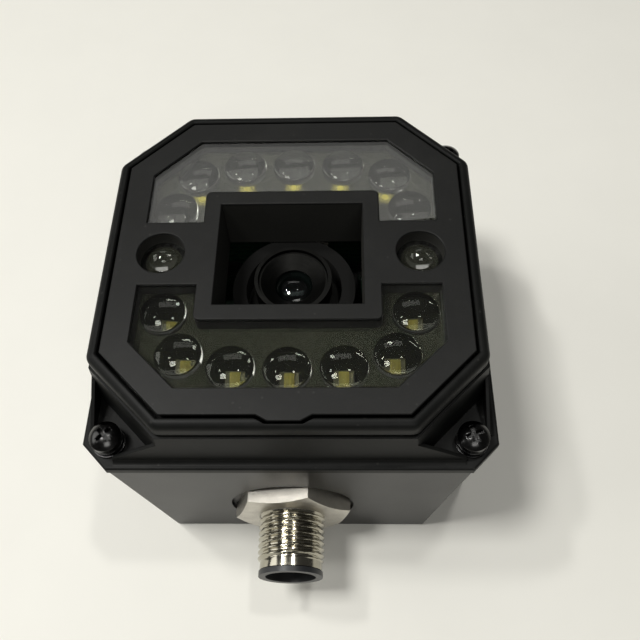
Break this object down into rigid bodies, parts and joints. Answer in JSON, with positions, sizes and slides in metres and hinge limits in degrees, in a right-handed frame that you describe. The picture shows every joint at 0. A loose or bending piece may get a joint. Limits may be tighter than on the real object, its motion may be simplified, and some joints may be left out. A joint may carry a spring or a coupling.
{
  "type": "barcode reader",
  "caption": "Fixed-mount barcode reader: square housing with an octagonal front that holds a ring of domed lamps round a camera window, and a round threaded plug connector on one side.",
  "frame": {"origin": "middle of the flat back face", "axes": "+Z is the way the reader looks, the connector leaves the housing along -Y"},
  "size_m": [0.0688, 0.0815, 0.048],
  "materials": {
    "housing_black": "matte black coat on die-cast aluminium",
    "cover_black": "fine satin black",
    "mask_grey": "matte dark grey",
    "black_rubber": "matte black",
    "clear_plastic": "clear, polished",
    "baffle_black": "matte black",
    "lamp_board_olive": "dark olive solder mask",
    "lamp_yellow": "yellow phosphor",
    "aimer_clear": "clear lamp",
    "lens_black": "black anodised",
    "lens_glass": "coated glass",
    "holder_black": "matte black",
    "board_green": "green solder mask",
    "chip_black": "moulded black",
    "socket_white": "off-white",
    "steel": "bright zinc",
    "screw_black": "glossy black oxide",
    "nickel": "nickel plate",
    "insert_black": "moulded black",
    "gold": "gold plate"
  },
  "bodies": {
    "root": {"rear_housing": "housing_black", "front_cover": "cover_black", "mask_plate": "mask_grey", "cover_gasket": "black_rubber", "window_gasket": "black_rubber", "connector_seal": "black_rubber", "cover_glass": "clear_plastic", "lens_window": "clear_plastic", "aimer_lens_left": "clear_plastic", "aimer_lens_right": "clear_plastic", "light_baffle": "baffle_black", "glass_frame": "baffle_black", "led_board": "lamp_board_olive", "led_01": "lamp_yellow", "led_02": "lamp_yellow", "led_03": "lamp_yellow", "led_04": "lamp_yellow", "led_05": "lamp_yellow", "led_06": "lamp_yellow", "led_07": "lamp_yellow", "led_08": "lamp_yellow", "led_09": "lamp_yellow", "led_10": "lamp_yellow", "led_11": "lamp_yellow", "led_12": "lamp_yellow", "led_13": "lamp_yellow", "led_14": "lamp_yellow", "aimer_led_left": "aimer_clear", "aimer_led_right": "aimer_clear", "lens_barrel": "lens_black", "lens_front_ring": "lens_black", "lens_lock_ring": "lens_black", "front_lens": "lens_glass", "rear_lens": "lens_glass", "lens_holder": "holder_black", "sensor_board": "board_green", "main_board": "board_green", "connector_board": "board_green", "image_sensor": "chip_black", "processor_chip": "chip_black", "memory_chip": "chip_black", "power_choke": "chip_black", "stacking_header": "chip_black", "io_socket": "chip_black", "lower_ribbon_socket": "socket_white", "upper_ribbon_socket": "socket_white", "led_ribbon": "socket_white", "led_board_screws": "steel", "sensor_board_screws": "steel", "board_spacers": "steel", "cover_screws": "screw_black", "flat_washers": "screw_black", "spring_washers": "screw_black", "connector_shell": "nickel", "connector_nut": "nickel", "connector_insert": "insert_black", "connector_pins": "gold"}
  },
  "joints": []
}
